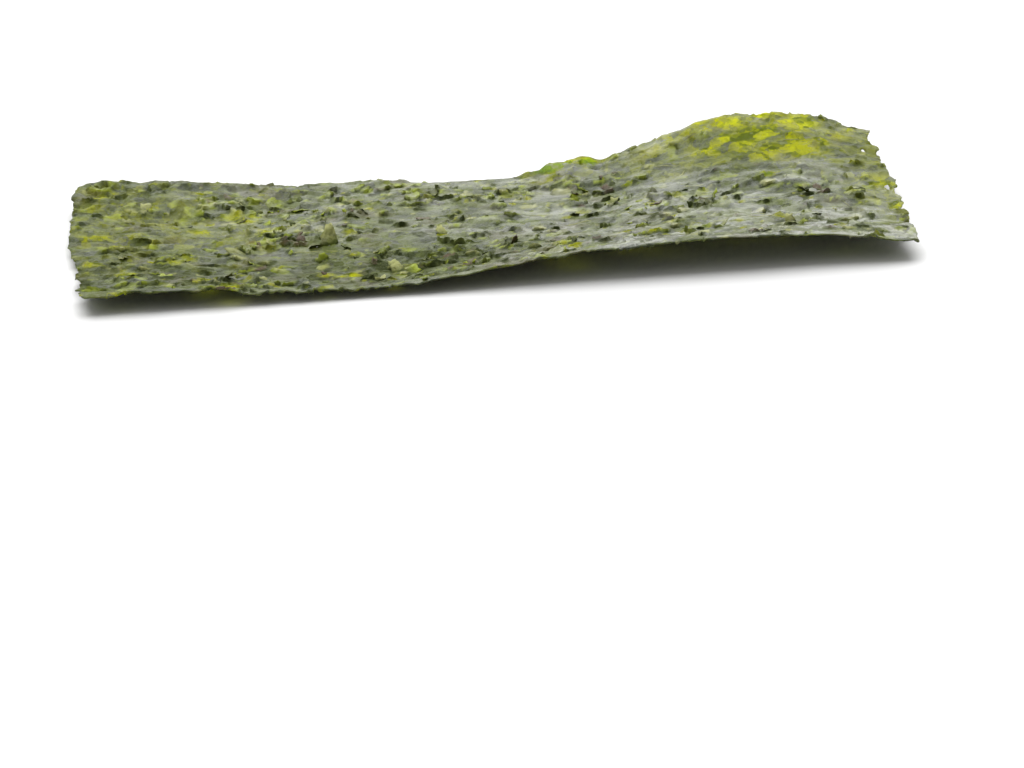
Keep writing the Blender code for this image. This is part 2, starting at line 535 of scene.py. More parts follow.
class FilmPoints:
    """The film's points in mm, with a rise, a forward push and a strength of each kind at every one."""

    BIN = 2.0

    def __init__(self, points):
        self.points = points
        self.rise = [0.0] * len(points)
        self.push = [Vector((0, 0)) for _ in points]
        self.marks = {kind: [0.0] * len(points) for kind in KINDS}
        self.bins = {}
        for index, point in enumerate(points):
            self.bins.setdefault((int(point.x // self.BIN), int(point.y // self.BIN)), []).append(index)

    def near(self, x, y, reach):
        """The points in all the bins that a square of a reach in mm touches."""
        columns = range(int((x - reach) // self.BIN), int((x + reach) // self.BIN) + 1)
        rows = range(int((y - reach) // self.BIN), int((y + reach) // self.BIN) + 1)
        for column in columns:
            for row in rows:
                yield from self.bins.get((column, row), ())

    def mark(self, kind, index, strength):
        """Notes a kind on a point, unless it is already noted there more strongly."""
        if kind in self.marks:
            self.marks[kind][index] = max(self.marks[kind][index], min(1.0, strength))

    def lift(self, index, flake, ahead, u, v, radius, key):
        """Lifts, pushes and colours a point under a flake, most at the tip and less at the rim; the colour is
        partly painted light.
        """
        seen_through = flake.kind in SEEN_THROUGH
        tipward = within((u + 1) / 2)
        rim = min(1.0, (1 - radius) / (SOFT_RIM if seen_through else RIM))
        raised = tipward**TIP_CURVE * rim
        rough = 1 + FLAKE_ROUGHNESS * tears(u, v, 2.2, key + 5)
        self.rise[index] = max(self.rise[index], flake.rise * raised * rough)
        self.push[index] = ahead * OVERHANG * flake.rise * raised
        whole = 1.0 if seen_through else ROOT_COLOUR_IN_SHADE + (1 - ROOT_COLOUR_IN_SHADE) * tipward**LIT_TIP_COLOUR_CURVE
        self.mark(flake.kind, index, flake.strength * whole * rim)
        if flake.kind == "green":
            self.mark("thin", index, flake.strength * whole * rim)

    def sink(self, index, flake, u, radius):
        """Paints shade on a point before a raised tip, and lowers it where no flake lies."""
        hollow = (HOLLOW_REACH - radius) / (HOLLOW_REACH - 1)
        hollow *= min(1.0, u) * min(1.0, flake.rise / FULL_HOLLOW_RISE)
        self.mark("dark", index, HOLLOW_PAINTED_SHADE * hollow)
        if self.rise[index] <= 0:
            self.rise[index] = min(self.rise[index], -HOLLOW_DEPTH * hollow)

    def stamp(self, flake, key):
        """Presses one flake into the film. Its key picks its own noise."""
        ahead = Vector((math.cos(flake.heading), math.sin(flake.heading)))
        aside = Vector((-ahead.y, ahead.x))
        centre = Vector((flake.x, flake.y))
        for index in self.near(flake.x, flake.y, max(flake.length, flake.breadth)):
            away = self.points[index] - centre
            u = 2 * away.dot(ahead) / flake.length
            v = 2 * away.dot(aside) / flake.breadth
            torn = tears(u, v, 1.3, key) + FINE_TEAR * tears(u, v, 3, key)
            radius = math.hypot(u, v) / (1 + TORN_RIM * torn)
            if radius < 1:
                self.lift(index, flake, ahead, u, v, radius, key)
            elif radius < HOLLOW_REACH and u > 0 and flake.rise > HOLLOW_RISE:
                self.sink(index, flake, u, radius)


# %% [markdown]
# The film's outline
#
# The film is one grid, drawn out to the torn outline of the sheet, lifted to the solid's height and given
# its relief. Then it gets a wall of a seventh of a millimetre, so the mesh is closed and its rim catches
# light as a real edge does. A solid block carved by a cutter would give the same outline but no control
# over the wall.
#
# The outline comes first. An end bows out and is torn into teeth by slow, rounded and quick waves together,
# since waves of one length would look like a saw. The back edge rises and dips along its length, and is
# drawn in where the real one is.

# %% Outline of the film
CELLS_ALONG = 372
CELLS_ACROSS = 124
JITTER = 0.07
GRID_SEED = 3
# The two short ends, in mm: how far an end bows out, how far it is set out, how deep its teeth are
End = namedtuple("End", "bow inset teeth")
ENDS = {-1: End(bow=0.7, inset=-0.4, teeth=1.15), 1: End(bow=0.3, inset=-1.2, teeth=1.0)}
SLOW_TEETH = 0.5
ROUND_TEETH = 0.32
QUICK_TEETH = 0.16
ROUND_TOOTH_GAIN = 2.4
ROUND_TOOTH_SINK = 0.5
CORNER_START = 0.93
CORNER_CUT = 0.8
RIGHT_BULGE = (0, 4, 1, 3, 0.6)
LEFT_FRONT_CUT = 0.9
LEFT_FRONT_REACH = 8
EDGE_WAVE = 0.22
EDGE_INSET = 0.25
QUICK_EDGE_SHARE = 0.5
# Powers by which the shape of an end, or of a long edge, fades towards the middle of the sheet
END_FADE = 12
EDGE_FADE = 7
# Along the back edge, in mm: the place along the sheet, how much the film is lifted, how far it is drawn in
BACK_EDGE = (
    (-48, 0.0, 0.2),
    (-36, 0.60, 0.0),
    (-30, 0.22, 0.0),
    (-20, 0.30, 0.0),
    (-13, 0.25, 0.0),
    (-9, 0.10, 0.4),
    (-4, -0.55, 1.3),
    (3, -0.45, 1.6),
    (7, -0.20, 1.2),
    (9, 0.45, 0.4),
    (12, 0.30, 0.2),
    (15, -0.60, 0.6),
    (20, -0.35, 0.6),
    (23.5, -0.20, 0.2),
    (27, 0.40, 0.0),
    (31, 0.15, 0.0),
    (35.5, -0.25, 0.0),
    (40, -0.05, 0.0),
    (48, 0.0, 0.0),
)


def rim_waves(place, length, row, layer):
    """Noise from about -1 to 1 along a rim, in waves of a length in mm. Row and layer pick a pattern."""
    return noise.noise(Vector((place / length, row, layer)))


def end_offset(y, side):
    """How far in mm a short end stands out at a place across the sheet: a bow with teeth torn in it."""
    end = ENDS[side]
    share = 2 * y * MM / WIDTH
    slow = rim_waves(y, length=3.4, row=3.1 * side, layer=0)
    rounded = ROUND_TOOTH_GAIN * abs(rim_waves(y, length=2.3, row=side, layer=7)) - ROUND_TOOTH_SINK
    quick = rim_waves(y, length=0.9, row=side, layer=2)
    teeth = SLOW_TEETH * slow + ROUND_TEETH * rounded + QUICK_TEETH * quick
    corner = max(0.0, abs(share) - CORNER_START) / (1 - CORNER_START)
    if side == 1:
        local = summed(0, y, (RIGHT_BULGE,))
    else:
        local = -LEFT_FRONT_CUT * within(-y / LEFT_FRONT_REACH)
    return end.bow * (1 - share**2) + end.teeth * teeth - CORNER_CUT * corner**2 + end.inset + local


def back_edge_at(x):
    """The lift and the draw of the back edge at a place along the sheet, in mm."""
    for (x0, lift0, draw0), (x1, lift1, draw1) in zip(BACK_EDGE, BACK_EDGE[1:]):
        if x <= x1:
            share = max(0.0, (x - x0) / (x1 - x0))
            share = share * share * (3 - 2 * share)
            return lift0 + share * (lift1 - lift0), draw0 + share * (draw1 - draw0)
    return BACK_EDGE[-1][1:]


def edge_offset(x, side):
    """How far in mm a long edge stands out at a place along the sheet."""
    slow = rim_waves(x, length=9, row=5.5 * side, layer=0)
    quick = rim_waves(x, length=1.7, row=2.5 * side, layer=4)
    drawn_in = back_edge_at(x)[1] if side == 1 else 0.0
    return EDGE_WAVE * (slow + QUICK_EDGE_SHARE * quick) - EDGE_INSET - drawn_in


def outline(bm):
    """The places in mm of the flat grid's points, moved to the outline and a little off the grid's lines."""
    rng = random.Random(GRID_SEED)
    points = []
    for vert in bm.verts:
        x, y = vert.co.x / MM, vert.co.y / MM
        along = 2 * vert.co.x / LENGTH
        across = 2 * vert.co.y / WIDTH
        end = 1 if along > 0 else -1
        edge = 1 if across > 0 else -1
        x += end * end_offset(y, end) * abs(along) ** END_FADE
        y += edge * edge_offset(x, edge) * abs(across) ** EDGE_FADE
        x += rng.uniform(-JITTER, JITTER)
        y += rng.uniform(-JITTER, JITTER)
        points.append(Vector((x, y)))
    return points


# %% [markdown]
# Thin, dark and oily places
#
# Over wide areas the leaf is thinner, or more or less oily than elsewhere, and the film is painted darker:
# as painted shade at the front left, and darker towards the left end. A painted picture could say where. A
# few soft ovals added up, and broken up by noise, say it as well and are easy to move.

# %% Wide areas
# Place and reach in mm, and weight
HUMP_THIN = (33, 18, 13, 7, 0.50)
LEFT_THIN = (-40, 6, 20, 16, 0.15)
BACK_EDGE_THIN = (10, 21, 5, 3, 0.45)
RIGHT_END_THIN = (46, 0, 4, 10, 0.35)
THIN_AREAS = (HUMP_THIN, LEFT_THIN, BACK_EDGE_THIN, RIGHT_END_THIN)
# Painted shade at the front left, and a darker left end
FRONT_PAINTED_SHADE = (-22, -13, 26, 8, 0.25)
LEFT_DARK = (-44, 0, 16, 20, 0.1)
DARK_AREAS = (FRONT_PAINTED_SHADE, LEFT_DARK)
RIGHT_FRONT_OIL = (34, -18, 20, 6, 0.9)
LEFT_BACK_OIL = (-21, 12, 13, 9, 0.14)
RIGHT_END_DRY = (47, 8, 6, 14, -0.5)
HUMP_DRY = (33, 15, 15, 9, -0.8)
MIDDLE_FRONT_DRY = (-6, -10, 18, 8, -0.45)
MIDDLE_BACK_DRY = (-2, 12, 16, 9, -0.15)
OILY_AREAS = (
    RIGHT_FRONT_OIL, LEFT_BACK_OIL, RIGHT_END_DRY, HUMP_DRY, MIDDLE_FRONT_DRY, MIDDLE_BACK_DRY,
)
# How strongly noise breaks up each of them
THIN_BREAKS = 1.2
DARK_BREAKS = 1.6
OIL_PATCHES = 1.6
OIL_STREAKS = 1.2
OIL_SLANT = 1.2
# Oil along the sheet: how much at the left, how much more at the right, and in mm where it starts to grow
# and over what length
LEFT_OIL = 0.02
MORE_OIL = 0.72
OIL_START = -45
OIL_GROWTH = 70


def veil(x, y):
    """How thin the film is over wide areas."""
    return summed(x, y, THIN_AREAS) * (1 + THIN_BREAKS * waves(x, y, length=3, width=2.2, layer=7.7))


def shade(x, y):
    """How much darker the film is painted over wide areas: painted shade at the front left, darker at the
    left end.
    """
    return summed(x, y, DARK_AREAS) * (1 + DARK_BREAKS * waves(x, y, length=4, width=2, layer=3.3))


def oiliness(x, y):
    """How much oil shines on the film: it grows from left to right, in patches and streaks."""
    along = within((x - OIL_START) / OIL_GROWTH)
    level = LEFT_OIL + MORE_OIL * along + summed(x, y, OILY_AREAS)
    patch = 1 + OIL_PATCHES * broken_waves(x, y, length=9, width=3.6, layer=9.9, finer=2.0)
    streak = waves(x + OIL_SLANT * y, y, length=3.0, width=1.0, layer=1.1)
    return within(level * (patch + OIL_STREAKS * streak))


print(f"oil at the left {oiliness(-40, 0):.2f}, at the right front {oiliness(34, -18):.2f}")

# %% [markdown]
# Pinholes
#
# Two tiny holes near the right end let light through. A Boolean could cut them once the film has its wall.
# On the open grid it is enough to delete the points inside an oval and draw the rim that is left onto it.

# %% Pinholes
# Along the film and across it in mm, and how far the film is missing each way
PINHOLES = (
    (46.35, 0.9, 0.34, 0.80),
    (45.3, 13.7, 0.26, 0.44),
)
PINHOLE_RIM = 3.0


def open_pinhole(bm, x, y, reach_x, reach_y):
    """Deletes the points inside an oval given in mm, and draws the rim that is left onto the oval."""
    centre = Vector((x, y)) * MM

    def distance(vert):
        """How far out a point is, as a share of the oval's reach."""
        away = (vert.co.xy - centre) / MM
        return math.hypot(away.x / reach_x, away.y / reach_y)

    inside = [vert for vert in bm.verts if distance(vert) < 1]
    bmesh.ops.delete(bm, geom=inside, context="VERTS")
    for vert in bm.verts:
        if vert.is_boundary and distance(vert) < PINHOLE_RIM:
            vert.co.xy = centre + (vert.co.xy - centre) / distance(vert)


# %% [markdown]
# The film
#
# Now each point of the grid is given its height: the solid's, plus the relief, plus what the flakes add. What
# the flakes and the wide areas note goes onto the mesh as one value for each kind, which the material reads.

# %% The film's grid
FILM_THICKNESS = 0.14 * MM
LOWEST = 0.6 * FILM_THICKNESS
KEY_STEP = 3.7
GRAIN_HEIGHT = 0.07
BACK_LIFT_START = 12
BACK_LIFT_REACH = 9
BACK_LIFT_CURVE = 1.5


def relief(x, y):
    """Height in mm of the film's own relief at a place in mm, without its flakes."""
    crinkles = crinkled(x, y) * (patch_relief(x, y) + crease_relief(x, y) + swell_relief(x, y))
    grain = GRAIN_HEIGHT * waves(x, y, length=0.9, width=0.8, layer=6.1)
    near_back = within((y - BACK_LIFT_START) / BACK_LIFT_REACH) ** BACK_LIFT_CURVE
    return crinkles + grain + back_edge_at(x)[0] * near_back


def film():
    """The whole film as an open bmesh, with the strengths that its material reads noted on its points."""
    bm = bmesh.new()
    bmesh.ops.create_grid(bm, x_segments=CELLS_ALONG, y_segments=CELLS_ACROSS, size=0.5)
    bmesh.ops.scale(bm, vec=(LENGTH, WIDTH, 1), verts=bm.verts)
    points = outline(bm)
    stamped = FilmPoints(points)
    for number, flake in enumerate(FLAKES):
        stamped.stamp(flake, number * KEY_STEP)
    layers = {name: bm.verts.layers.float.new(name) for name in (*KINDS, "oil")}
    for index, vert in enumerate(bm.verts):
        x, y = points[index]
        height = solid_height(x * MM, y * MM) + (relief(x, y) + stamped.rise[index]) * MM
        pushed = points[index] + stamped.push[index]
        vert.co = Vector((pushed.x * MM, pushed.y * MM, max(LOWEST, height)))
        for kind in KINDS:
            vert[layers[kind]] = stamped.marks[kind][index]
        # Painted shade over wide areas goes into the dark mark
        vert[layers["dark"]] = min(1.0, vert[layers["dark"]] + shade(x, y))
        vert[layers["thin"]] = min(1.0, vert[layers["thin"]] + max(0.0, veil(x, y)))
        vert[layers["oil"]] = oiliness(x, y)
    for pinhole in PINHOLES:
        open_pinhole(bm, *pinhole)
    bmesh.ops.recalc_face_normals(bm, faces=bm.faces)
    return bm


# %% Object and wall
SHARP_RIM = math.radians(38)


def finish_mesh(bm, name, material):
    """Turns a bmesh into an object at the origin, shaded smooth but for its sharp rims."""
    mesh = bpy.data.meshes.new(name)
    bm.to_mesh(mesh)
    bm.free()
    mesh.materials.append(material)
    mesh.shade_smooth()
    mesh.set_sharp_from_angle(angle=SHARP_RIM)
    piece = bpy.data.objects.new(name, mesh)
    bpy.context.scene.collection.objects.link(piece)
    return piece


def add_wall(piece, thickness):
    """Gives an open sheet a wall, half on each side, so that the mesh is closed."""
    wall = piece.modifiers.new("wall", "SOLIDIFY")
    wall.thickness = thickness
    wall.offset = 0


# %% [markdown]
# Materials
#
# Dried seaweed is a dark olive skin with a smooth, oily surface. Two things give it its look. Seen at a low
# angle the skin mirrors the room, which the Principled shader does by itself. And where the film is one
# scrap thick, light comes through yellow-green, which a Translucent shader mixed in does. A subsurface
# shader could do both, but it is meant for thick, solid things and blurs the fine pattern. The thin spots
# also have that yellow-green painted into their surface colour, as painted light.
#
# The colours noted on the mesh say what each flake is, and where shade is painted. What is finer than the
# mesh, such as the grain of the leaf and the torn rims, comes from a node group.

# %% Node helpers
def add_node(tree, kind, **settings):
    """A node of a kind, with its settings and unlinked socket values given by name."""
    node = tree.nodes.new(kind)
    for key, value in settings.items():
        if hasattr(node, key) and key not in node.inputs:
            setattr(node, key, value)
        else:
            node.inputs[key.replace("_", " ")].default_value = value
    return node


def ramp(tree, source, stops):
    """A colour ramp from a value, with stops given as a place and a colour."""
    node = tree.nodes.new("ShaderNodeValToRGB")
    elements = node.color_ramp.elements
    while len(elements) < len(stops):
        elements.new(0.5)
    for element, (place, colour) in zip(elements, stops):
        element.position = place
        element.color = (*colour, 1)
    tree.links.new(source, node.inputs["Fac"])
    return node.outputs["Color"]


def grey(value):
    return (value, value, value)


def mix_colour(tree, factor, first, second):
    """A mix of two colours, each a socket or a plain colour."""
    node = tree.nodes.new("ShaderNodeMix")
    node.data_type = "RGBA"
    tree.links.new(factor, node.inputs["Factor"])
    for socket, value in (("A", first), ("B", second)):
        target = next(s for s in node.inputs if s.name == socket and s.type == "RGBA")
        if isinstance(value, tuple):
            target.default_value = (*value, 1)
        else:
            tree.links.new(value, target)
    return next(s for s in node.outputs if s.type == "RGBA")


def calculate(tree, operation, first, second):
    """One sum on two values, each a socket or a number."""
    node = tree.nodes.new("ShaderNodeMath")
    node.operation = operation
    for socket, value in zip(node.inputs, (first, second)):
        if isinstance(value, (int, float)):
            socket.default_value = value
        else:
            tree.links.new(value, socket)
    return node.outputs["Value"]


def weighted(tree, parts):
    """The sum of several values, each with its weight."""
    total = None
    for source, weight in parts:
        part = calculate(tree, "MULTIPLY", source, weight)
        total = part if total is None else calculate(tree, "ADD", total, part)
    return total


def noted(tree, name):
    """A value noted on the mesh."""
    node = tree.nodes.new("ShaderNodeAttribute")
    node.attribute_name = name
    return node.outputs["Fac"]


# %% The pattern of the leaf
BUMP_HEIGHT = 0.08 * MM
LARGE_SLOPE = 0.16
FINE_SLOPE = 0.30
WARP_REACH = 2.2 * MM


def centred(group, colour):
    """A colour's three values less a half each, so that they lie on both sides of zero."""
    node = add_node(group, "ShaderNodeVectorMath", operation="SUBTRACT")
    group.links.new(colour, node.inputs[0])
    node.inputs[1].default_value = (0.5, 0.5, 0.5)
    return node.outputs["Vector"]


def warped(group, place):
    """A place moved a little by noise, so that what is drawn there has ragged rims."""
    warp = add_node(group, "ShaderNodeTexNoise", Scale=420.0, Detail=4.0, Roughness=0.68)
    group.links.new(place, warp.inputs["Vector"])
    small = add_node(group, "ShaderNodeVectorMath", operation="SCALE")
    small.inputs["Scale"].default_value = WARP_REACH
    group.links.new(centred(group, warp.outputs["Color"]), small.inputs[0])
    moved = add_node(group, "ShaderNodeVectorMath", operation="ADD")
    group.links.new(place, moved.inputs[0])
    group.links.new(small.outputs["Vector"], moved.inputs[1])
    return moved.outputs["Vector"]


def keys(group, mosaic):
    """The three random values that a mosaic gives each of its cells."""
    node = group.nodes.new("ShaderNodeSeparateColor")
    group.links.new(mosaic.outputs["Color"], node.inputs["Color"])
    return node.outputs


def tilted(group, place, mosaic, slope):
    """Height in metres of a mosaic whose cells each lean their own way, by no more than a slope."""
    away = add_node(group, "ShaderNodeVectorMath", operation="SUBTRACT")
    group.links.new(place, away.inputs[0])
    group.links.new(mosaic.outputs["Position"], away.inputs[1])
    along = add_node(group, "ShaderNodeVectorMath", operation="DOT_PRODUCT")
    group.links.new(away.outputs["Vector"], along.inputs[0])
    group.links.new(centred(group, mosaic.outputs["Color"]), along.inputs[1])
    return calculate(group, "MULTIPLY", along.outputs["Value"], 2 * slope)


def leaf_pattern():
    """A group: tone, thinness and fine height of each small scrap, raggedness of rims, slow stains."""
    group = bpy.data.node_groups.new("leaf_pattern", "ShaderNodeTree")
    group.interface.new_socket("Vector", in_out="INPUT", socket_type="NodeSocketVector")
    for name in ("Tone", "Patch", "Ragged", "Stain", "Height"):
        group.interface.new_socket(name, in_out="OUTPUT", socket_type="NodeSocketFloat")
    start = group.nodes.new("NodeGroupInput")
    end = group.nodes.new("NodeGroupOutput")
    place = warped(group, start.outputs["Vector"])
    large = add_node(group, "ShaderNodeTexVoronoi", Scale=520.0)
    fine = add_node(group, "ShaderNodeTexVoronoi", Scale=1500.0)
    cloud = add_node(group, "ShaderNodeTexNoise", Scale=170.0, Detail=4.0, Roughness=0.6)
    grain = add_node(group, "ShaderNodeTexNoise", Scale=3200.0, Detail=4.0, Roughness=0.6)
    for node in (large, fine, cloud, grain):
        group.links.new(place, node.inputs["Vector"])
    large_keys = keys(group, large)
    fine_keys = keys(group, fine)

    # Each output is a weighted sum. The two tilted heights are in metres, the others in shares of the bump.
    sums = {
        "Tone": (
            (large_keys["Red"], 0.32),
            (fine_keys["Red"], 0.2),
            (grain.outputs["Fac"], 0.2),
            (cloud.outputs["Fac"], 0.4),
        ),
        "Ragged": ((fine_keys["Green"], 0.5), (grain.outputs["Fac"], 0.5)),
        "Patch": (
            (large_keys["Green"], 0.45),
            (fine_keys["Blue"], 0.35),
            (cloud.outputs["Fac"], 0.2),
        ),
        "Height": (
            (fine_keys["Green"], 0.3),
            (grain.outputs["Fac"], 0.6),
            (tilted(group, place, large, LARGE_SLOPE), 1 / BUMP_HEIGHT),
            (tilted(group, place, fine, FINE_SLOPE), 1 / BUMP_HEIGHT),
        ),
    }
    for name, parts in sums.items():
        group.links.new(weighted(group, parts), end.inputs[name])
    group.links.new(cloud.outputs["Fac"], end.inputs["Stain"])
    return group


LEAF_PATTERN = leaf_pattern()
print(f"the leaf pattern has {len(LEAF_PATTERN.nodes)} nodes")

# %% Seaweed material
DARKEST = (0.020, 0.031, 0.006)
OLIVE = (0.092, 0.118, 0.012)
STAIN = (0.062, 0.056, 0.014)
PALE = (0.33, 0.40, 0.022)
# Dark leaf, and also the painted shade in hollows, at scrap roots and at the front left
DARK_AND_SHADE = (0.022, 0.031, 0.004)
BROWN = (0.110, 0.078, 0.052)
STRAW = (0.42, 0.43, 0.15)
DUST = (0.80, 0.92, 0.35)
DUST_SHARE = 0.2
GLOW_YELLOW = (0.92, 0.94, 0.045)
GLOW_LIME = (0.34, 0.41, 0.014)
GLOW_GREEN = (0.43, 0.64, 0.012)
GREEN_SHARE = 0.7
# How much of the glow is painted into the surface colour of thin spots, as painted light
PAINTED_GLOW_ON_SKIN = 0.8
THICK_GLOW = (0.34, 0.35, 0.008)
THICK_SHARE = 0.10
THIN_SHARE = 0.80
# How the leaf pattern breaks up what is noted as thin: a factor, and what is then added
PATCHINESS = 2.4
PATCHINESS_SHIFT = -0.1
MARK_START = 0.3
TORN_SHARE = 0.35


def torn_mark(tree, pattern, kind, full=0.75):
    """A noted value with its soft rim made ragged by the leaf pattern, one from a full strength up."""
    value = weighted(tree, ((noted(tree, kind), 1.0), (pattern["Ragged"], TORN_SHARE)))
    return ramp(tree, value, ((MARK_START, grey(0)), (full, grey(1))))


def thin_mask(tree, pattern):
    """One where light comes through, zero where the film is thick."""
    patchy = calculate(tree, "MULTIPLY", pattern["Patch"], PATCHINESS)
    patchy = calculate(tree, "ADD", patchy, PATCHINESS_SHIFT)
    thinness = calculate(tree, "MULTIPLY", noted(tree, "thin"), patchy)
    return ramp(tree, thinness, ((0.05, grey(0)), (0.95, grey(1))))


def skin_colour(tree, pattern, hollow):
    """Olive with stains, and on it the colours of the dark, pale, straw-coloured and brown flakes, and
    painted shade.
    """
    skin = ramp(tree, pattern["Tone"], ((0.40, DARKEST), (0.70, OLIVE)))
    stained = ramp(tree, pattern["Stain"], ((0.50, grey(0)), (0.66, grey(0.8))))
    skin = mix_colour(tree, stained, skin, STAIN)
    skin = mix_colour(tree, hollow, skin, DARK_AND_SHADE)
    skin = mix_colour(tree, torn_mark(tree, pattern, "pale", full=1.0), skin, PALE)
    skin = mix_colour(tree, torn_mark(tree, pattern, "straw", full=1.0), skin, STRAW)
    return mix_colour(tree, torn_mark(tree, pattern, "brown"), skin, BROWN)


def glow_colour(tree, pattern):
    """The colour of the light that comes through a thin place: lime to yellow, green where that is noted."""
    glow = ramp(tree, pattern["Tone"], ((0.42, GLOW_LIME), (0.66, GLOW_YELLOW)))
    green = calculate(tree, "MULTIPLY", noted(tree, "green"), GREEN_SHARE)
    return mix_colour(tree, green, glow, GLOW_GREEN)


def oily_skin(tree, pattern, colour, hollow, normal):
    """The Principled shader of the skin, dusty all over, and dull and free of oil in its hollows."""
    shader = tree.nodes.new("ShaderNodeBsdfPrincipled")
    shader.inputs["Specular IOR Level"].default_value = 0.2
    shader.inputs["Coat Roughness"].default_value = 0.24
    shader.inputs["Sheen Weight"].default_value = DUST_SHARE
    shader.inputs["Sheen Roughness"].default_value = 0.45
    shader.inputs["Sheen Tint"].default_value = (*DUST, 1)
    rough = ramp(tree, pattern["Tone"], ((0.3, grey(0.3)), (0.8, grey(0.5))))
    rough = mix_colour(tree, hollow, rough, grey(0.9))
    oil = mix_colour(tree, hollow, noted(tree, "oil"), grey(0.0))
    tree.links.new(colour, shader.inputs["Base Color"])
    tree.links.new(rough, shader.inputs["Roughness"])
    tree.links.new(oil, shader.inputs["Coat Weight"])
    tree.links.new(normal, shader.inputs["Normal"])
    return shader.outputs["BSDF"]


def light_through(tree, colour, normal):
    """The Translucent shader of the light that comes through the film."""
    shader = tree.nodes.new("ShaderNodeBsdfTranslucent")
    tree.links.new(colour, shader.inputs["Color"])
    tree.links.new(normal, shader.inputs["Normal"])
    return shader.outputs["BSDF"]


def seaweed():
    """Dried seaweed: an oily skin mixed with light that comes through, most at the thin spots, whose colour
    also has that light painted in.
    """
    material, tree, output = new_material("seaweed")
    where = tree.nodes.new("ShaderNodeTexCoord")
    leaf = tree.nodes.new("ShaderNodeGroup")
    leaf.node_tree = LEAF_PATTERN
    tree.links.new(where.outputs["Object"], leaf.inputs["Vector"])
    pattern = leaf.outputs
    bump = add_node(tree, "ShaderNodeBump", Strength=0.7, Distance=BUMP_HEIGHT)
    tree.links.new(pattern["Height"], bump.inputs["Height"])
    normal = bump.outputs["Normal"]

    thin = thin_mask(tree, pattern)
    # The dark mark holds dark flakes and painted shade: hollows before raised tips, scrap roots, the front
    # left
    hollow = torn_mark(tree, pattern, "dark")
    glow = glow_colour(tree, pattern)
    # Thin spots also take the glow as their surface colour: painted light, besides the light that comes
    # through
    painted_glow_share = calculate(tree, "MULTIPLY", thin, PAINTED_GLOW_ON_SKIN)
    colour = mix_colour(tree, painted_glow_share, skin_colour(tree, pattern, hollow), glow)
    through = mix_colour(tree, thin, THICK_GLOW, glow)

    both = tree.nodes.new("ShaderNodeMixShader")
    share = ramp(tree, thin, ((0, grey(THICK_SHARE)), (1, grey(THIN_SHARE))))
    tree.links.new(share, both.inputs["Fac"])
    tree.links.new(oily_skin(tree, pattern, colour, hollow, normal), both.inputs[1])
    tree.links.new(light_through(tree, through, normal), both.inputs[2])
    tree.links.new(both.outputs["Shader"], output.inputs["Surface"])
    return material


SEAWEED = seaweed()
print(f"the seaweed material has {len(SEAWEED.node_tree.nodes)} nodes")

# %% Make the film
film_bm = film()
film_tree = BVHTree.FromBMesh(film_bm)
film_piece = finish_mesh(film_bm, "seaweed_film", SEAWEED)
add_wall(film_piece, FILM_THICKNESS)
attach(film_piece, "root")
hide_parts("nori_sheet")
print(f"the film's grid has {len(film_piece.data.polygons)} faces")

# %% [markdown]
# Scraps that stand free of the film
#
# Some scraps came loose along one side and curl up from the film, and a few hang from its underside. They
# give the film its finest breaks and cast small sharp shadows. One scrap is a small grid, torn and crumpled
# by moving its points, with its root let into the film. All of them are one mesh, and a wall closes them all
# at once. Instances of a few shapes would be lighter, but no two real scraps are alike.
#
# The largest shards are listed one by one. The others are scattered, but not on the hump or near the edges,
# where the real film is smooth.

# %% One scrap
Scrap = namedtuple("Scrap", "x y length breadth lift curl heading pinch side kind")
SCRAP_CEILING = HIGH.z + 0.12 * MM
SCRAP_FLOOR = 0.08 * MM
SCRAP_WALL = 0.05 * MM
SCRAP_CELLS = 4
# How deep a root is let into the film, and how high a scrap's wrinkles are, in mm
SINK = 0.07
CRUMPLE = 0.3
# A scrap at least this long in mm is torn less than a smaller one
LARGE_SCRAP = 1.4
LARGE_TEAR = 0.4
SMALL_TEAR = 0.8
SKEW = 0.45
CUP = 0.1
CORNERS = (0.2, 1.0)
SCRAP_STRENGTH = (0.5, 1.0)
SCRAP_KEYS = (0, 90)
ROOT_SHADE = 0.2
SCRAP_COLOUR_AND_LIGHT_CURVE = 0.7


def rounded(u, v, corners):
    """A place on a square of half size one, moved in so that only a share of its corners is left."""
    wide = math.sqrt(1 - v * v / 2)
    deep = math.sqrt(1 - u * u / 2)
    return u * (wide + corners * (1 - wide)), v * (deep + corners * (1 - deep))


def film_at(x, y, side=1):
    """The film's point above or below a place in mm, and its normal on that side."""
    place, normal = film_tree.ray_cast(Vector((x * MM, y * MM, RAY_TOP)), DOWN)[:2]
    if place is None:
        place, normal = film_tree.find_nearest(Vector((x * MM, y * MM, HEIGHT / 2)))[:2]
    if normal.z < 0:
        normal = -normal
    return place, normal * side


